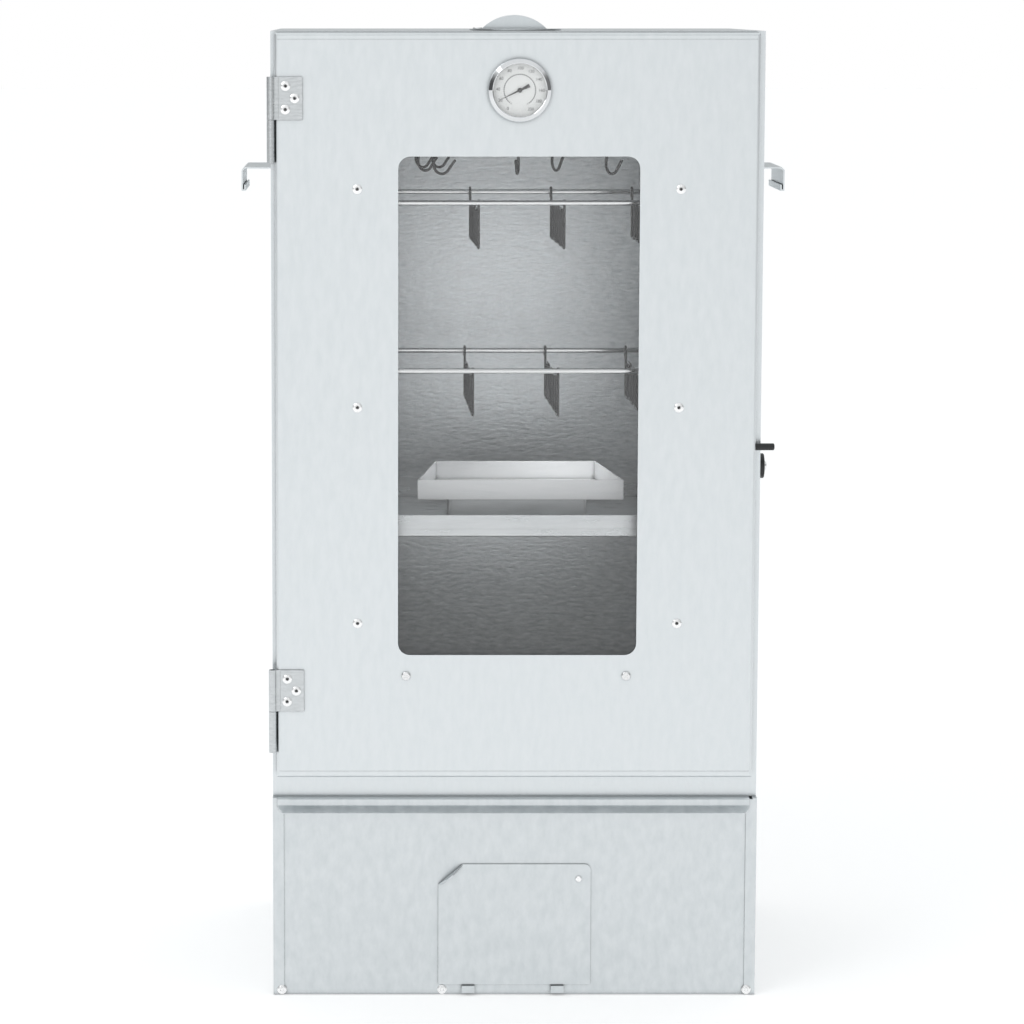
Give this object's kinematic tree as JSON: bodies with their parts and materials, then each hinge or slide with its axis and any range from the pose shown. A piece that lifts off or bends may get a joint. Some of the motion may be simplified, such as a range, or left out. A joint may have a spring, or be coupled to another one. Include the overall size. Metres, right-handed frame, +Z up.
{
  "type": "vertical water smoker",
  "caption": "Upright sheet-metal smoking cabinet on a fire-box base, with a glazed hinged door, hook rods, wire racks, a drip pan and a water tray.",
  "frame": {"origin": "centre of the base's underside, on the ground", "axes": "+Z up, the door faces -Y, +X to the right seen from the front"},
  "size_m": [0.555, 0.4122, 0.9863],
  "materials": {
    "cabinet_sheet": "galvanised sheet, satin, faint vertical grain",
    "inner_sheet": "galvanised sheet, unpolished",
    "base_sheet": "galvanised sheet, satin",
    "door_sheet": "galvanised sheet, satin, faint vertical mottle",
    "rail_sheet": "galvanised sheet",
    "hinge_steel": "zinc plated, satin",
    "rivet_aluminium": "bright blind rivet heads",
    "screw_steel": "zinc plated screw heads",
    "rod_steel": "polished round bar",
    "wire_steel": "dark polished wire",
    "pan_steel": "satin sheet",
    "stand_steel": "satin sheet",
    "tray_steel": "satin sheet",
    "window_glass": "clear flat heat-resistant glass",
    "dial_glass": "clear lens",
    "bezel_chrome": "polished",
    "thermometer_steel": "plain steel",
    "dial_face": "white printed face with a coloured scale",
    "pointer_black": "matt black",
    "black_plastic": "satin black"
  },
  "bodies": {
    "frame": {"base_back_panel": "inner_sheet", "base_floor": "inner_sheet", "base_front_panel": "base_sheet", "base_side_left": "base_sheet", "base_side_right": "base_sheet", "base_skirt": "base_sheet", "body_rivets": "rivet_aluminium", "cabinet_back": "inner_sheet", "cabinet_side_left": "cabinet_sheet", "cabinet_side_right": "cabinet_sheet", "cabinet_top": "cabinet_sheet", "damper_rivet": "rivet_aluminium", "front_header": "cabinet_sheet", "front_sill": "cabinet_sheet", "handle_left": "cabinet_sheet", "handle_right": "cabinet_sheet", "hinge_frame_halves": "hinge_steel", "hinge_pins": "hinge_steel", "hook_rails": "inner_sheet", "hook_rods": "rod_steel", "latch_screw": "screw_steel", "pan_rails": "inner_sheet", "rack_rails": "inner_sheet"},
    "door": {"door_skin": "door_sheet", "window_glass": "window_glass", "glass_rail_left": "rail_sheet", "glass_rail_right": "rail_sheet", "glass_rail_bottom": "rail_sheet", "glass_rail_rivets": "rivet_aluminium", "glass_stop_screws": "screw_steel", "door_pull": "black_plastic", "hinge_door_halves": "hinge_steel", "hinge_door_rivets": "rivet_aluminium", "thermometer_case": "thermometer_steel", "thermometer_bezel": "bezel_chrome", "thermometer_dial": "dial_face", "thermometer_lens": "dial_glass", "thermometer_stem": "thermometer_steel", "thermometer_nut": "thermometer_steel"},
    "pointer": {"thermometer_pointer": "pointer_black"},
    "latch": {"latch_lever": "black_plastic"},
    "damper": {"damper_disc": "cabinet_sheet"},
    "access_plate": {"access_flap": "base_sheet", "flap_catch": "rivet_aluminium"},
    "ember_tray": {"ember_tray": "inner_sheet"},
    "upper_rack": {"upper_rack_rods": "rod_steel", "upper_rack_combs": "wire_steel"},
    "lower_rack": {"lower_rack_rods": "rod_steel", "lower_rack_combs": "wire_steel"},
    "drip_pan": {"drip_pan": "pan_steel", "tray_stand": "stand_steel"},
    "water_tray": {"water_tray": "tray_steel"},
    "s_hook_1": {"s_hook_1": "wire_steel"},
    "s_hook_2": {"s_hook_2": "wire_steel"},
    "s_hook_3": {"s_hook_3": "wire_steel"},
    "s_hook_4": {"s_hook_4": "wire_steel"},
    "s_hook_5": {"s_hook_5": "wire_steel"},
    "s_hook_6": {"s_hook_6": "wire_steel"},
    "s_hook_7": {"s_hook_7": "wire_steel"}
  },
  "joints": [
    {"name": "door_swing", "type": "hinge", "parent": "frame", "child": "door", "pos_m": [-0.2434, -0.206, 0.6], "axis": [0, 0, -1], "range_deg": [0, 170]},
    {"name": "pointer_turn", "type": "hinge", "parent": "door", "child": "pointer", "pos_m": [0.001, -0.206, 0.9135], "axis": [0, 1, 0], "range_deg": [-30, 266], "stiffness_Nm_per_rad": 0.001},
    {"name": "latch_turn", "type": "hinge", "parent": "frame", "child": "latch", "pos_m": [0.246, -0.168, 0.5375], "axis": [1, 0, 0], "range_deg": [0, 141]},
    {"name": "damper_swivel", "type": "hinge", "parent": "frame", "child": "damper", "pos_m": [-0.038, -0.111, 0.9715], "axis": [0, 0, 1], "range_deg": [-140, 140]},
    {"name": "access_plate_tilt", "type": "hinge", "parent": "frame", "child": "access_plate", "pos_m": [0, -0.1942, 0.0107], "axis": [1, 0, 0], "range_deg": [0, 80]},
    {"name": "ember_tray_slide", "type": "slide", "parent": "frame", "child": "ember_tray", "axis": [0, -1, 0], "range_m": [0, 0.05]},
    {"name": "upper_rack_lift", "type": "slide", "parent": "frame", "child": "upper_rack", "axis": [0, 0, 1], "range_m": [0, 0.015]},
    {"name": "lower_rack_lift", "type": "slide", "parent": "frame", "child": "lower_rack", "axis": [0, 0, 1], "range_m": [0, 0.015]},
    {"name": "drip_pan_slide", "type": "slide", "parent": "frame", "child": "drip_pan", "axis": [0, -1, 0], "range_m": [0, 0.012]},
    {"name": "water_tray_lift", "type": "slide", "parent": "drip_pan", "child": "water_tray", "axis": [0, 0, 1], "range_m": [0, 0.058]},
    {"name": "s_hook_1_swing", "type": "hinge", "parent": "frame", "child": "s_hook_1", "pos_m": [-0.0898, -0.068, 0.93], "axis": [1, 0, 0], "range_deg": [-12, 12]},
    {"name": "s_hook_2_swing", "type": "hinge", "parent": "frame", "child": "s_hook_2", "pos_m": [-0.0915, 0.009, 0.93], "axis": [1, 0, 0], "range_deg": [-12, 3]},
    {"name": "s_hook_3_swing", "type": "hinge", "parent": "frame", "child": "s_hook_3", "pos_m": [-0.0742, -0.141, 0.93], "axis": [1, 0, 0], "range_deg": [-12, 12]},
    {"name": "s_hook_4_swing", "type": "hinge", "parent": "frame", "child": "s_hook_4", "pos_m": [-0.0745, 0.009, 0.93], "axis": [1, 0, 0], "range_deg": [-3, 12]},
    {"name": "s_hook_5_swing", "type": "hinge", "parent": "frame", "child": "s_hook_5", "pos_m": [0.0016, -0.141, 0.93], "axis": [1, 0, 0], "range_deg": [-15, 15]},
    {"name": "s_hook_6_swing", "type": "hinge", "parent": "frame", "child": "s_hook_6", "pos_m": [0.0438, -0.068, 0.93], "axis": [1, 0, 0], "range_deg": [-15, 15]},
    {"name": "s_hook_7_swing", "type": "hinge", "parent": "frame", "child": "s_hook_7", "pos_m": [0.0962, -0.141, 0.93], "axis": [1, 0, 0], "range_deg": [-15, 15]}
  ]
}
